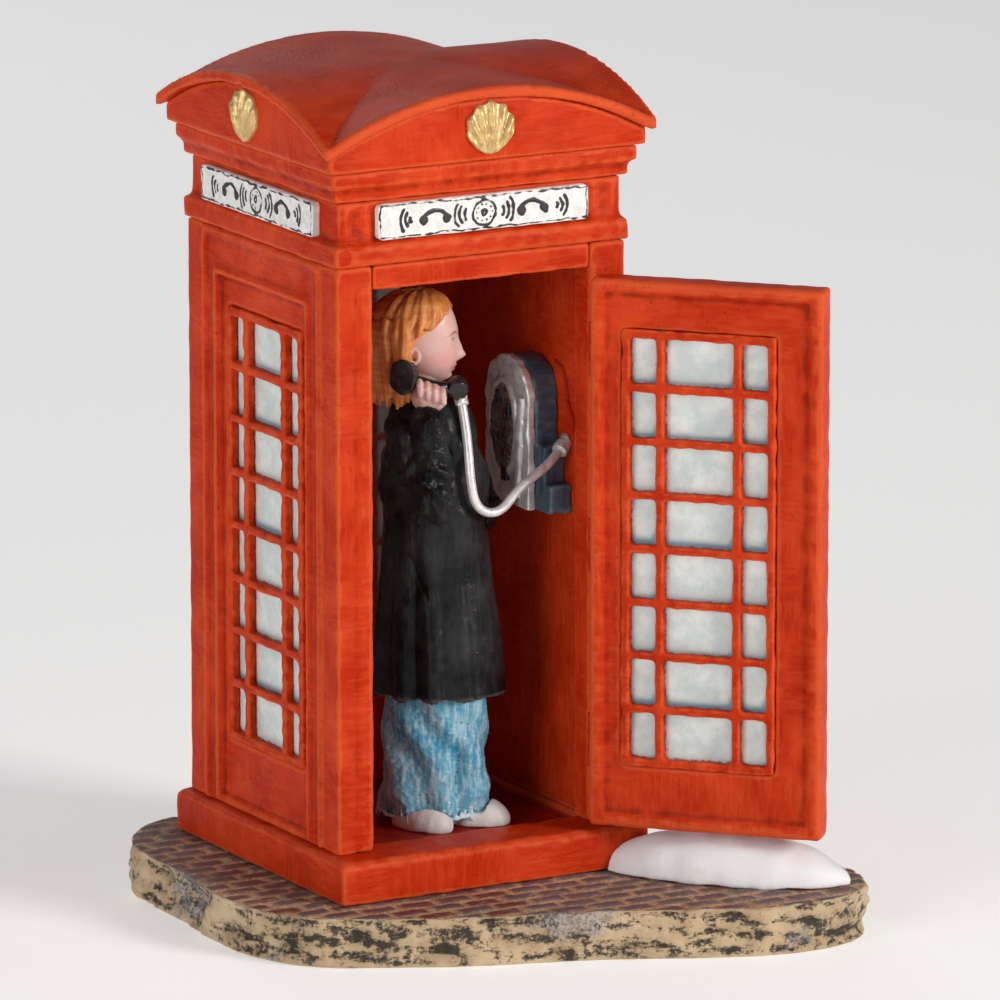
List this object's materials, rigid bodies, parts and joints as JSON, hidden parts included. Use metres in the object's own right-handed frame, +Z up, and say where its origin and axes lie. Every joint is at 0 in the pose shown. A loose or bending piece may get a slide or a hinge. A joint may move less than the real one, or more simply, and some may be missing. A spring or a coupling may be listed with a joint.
{
  "type": "telephone booth",
  "caption": "Miniature red telephone kiosk with a hinged door that stands open, arched roof, glazed walls, wall telephone and a caller, on a paved ground slab.",
  "frame": {"origin": "on the underside of the ground slab, straight below the middle of the kiosk", "axes": "+Z up; the doorway faces -Y, so +X is to the right of someone who faces the doorway"},
  "size_m": [0.0839, 0.0861, 0.119],
  "materials": {
    "red_paint": "brushed orange-red enamel on cast resin, satin",
    "dark_red_paint": "dark red enamel on cast resin, satin",
    "ground": "cast resin painted as rock and brick paving, dry-brushed",
    "snow": "thick matt white paint",
    "pane": "milky translucent resin",
    "sign": "white enamel with painted black marks",
    "gilding": "gold paint with a dark wash",
    "hinge_metal": "metal, painted over in red",
    "blue_grey_paint": "blue-grey enamel",
    "silver_paint": "silver paint with a dark wash",
    "bronze_paint": "dark bronze paint over silver",
    "black_paint": "gloss black paint",
    "skin_paint": "flesh-coloured paint",
    "hair_paint": "orange paint with a brown wash",
    "coat_paint": "black gloss paint, dry-brushed grey",
    "jeans_paint": "turquoise paint, dry-brushed white",
    "boot_paint": "off-white paint"
  },
  "bodies": {
    "root": {"back_badge": "gilding", "back_pane": "pane", "back_sign_plate": "sign", "back_wall": "red_paint", "back_window_grid": "red_paint", "base_slab": "ground", "cabin_floor": "dark_red_paint", "ceiling_panel": "dark_red_paint", "cornice": "red_paint", "door_header": "red_paint", "entablature": "red_paint", "figure_coat": "coat_paint", "figure_hair": "hair_paint", "figure_hand": "skin_paint", "figure_head": "skin_paint", "figure_jeans": "jeans_paint", "figure_left_boot": "boot_paint", "figure_left_sleeve": "coat_paint", "figure_right_boot": "boot_paint", "figure_right_sleeve": "coat_paint", "front_badge": "gilding", "front_left_post": "red_paint", "front_right_post": "red_paint", "front_sign_plate": "sign", "handset_cord": "silver_paint", "handset_earpiece": "black_paint", "handset_ferrule": "silver_paint", "handset_grip": "black_paint", "handset_mouthpiece": "black_paint", "left_badge": "gilding", "left_pane": "pane", "left_sign_plate": "sign", "left_wall": "red_paint", "left_window_grid": "red_paint", "lower_hinge_pin": "hinge_metal", "lower_hinge_post_leaf": "hinge_metal", "middle_hinge_pin": "hinge_metal", "middle_hinge_post_leaf": "hinge_metal", "pediment_block": "red_paint", "phone_faceplate": "silver_paint", "phone_ferrule": "silver_paint", "phone_housing": "blue_grey_paint", "phone_panel": "bronze_paint", "plinth": "red_paint", "right_badge": "gilding", "right_pane": "pane", "right_sign_plate": "sign", "right_wall": "red_paint", "right_window_grid": "red_paint", "roof_shell": "red_paint", "snow_drift": "snow", "upper_hinge_pin": "hinge_metal", "upper_hinge_post_leaf": "hinge_metal"},
    "door": {"door_leaf": "red_paint", "door_outer_grid": "red_paint", "door_pane": "pane", "door_inner_grid": "red_paint", "lower_hinge_door_leaf": "hinge_metal", "middle_hinge_door_leaf": "hinge_metal", "upper_hinge_door_leaf": "hinge_metal"}
  },
  "joints": [
    {"name": "door_hinge", "type": "hinge", "parent": "root", "child": "door", "pos_m": [0.0173, -0.0229, 0.052], "axis": [0, 0, 1], "range_deg": [-133.7, 25]}
  ]
}
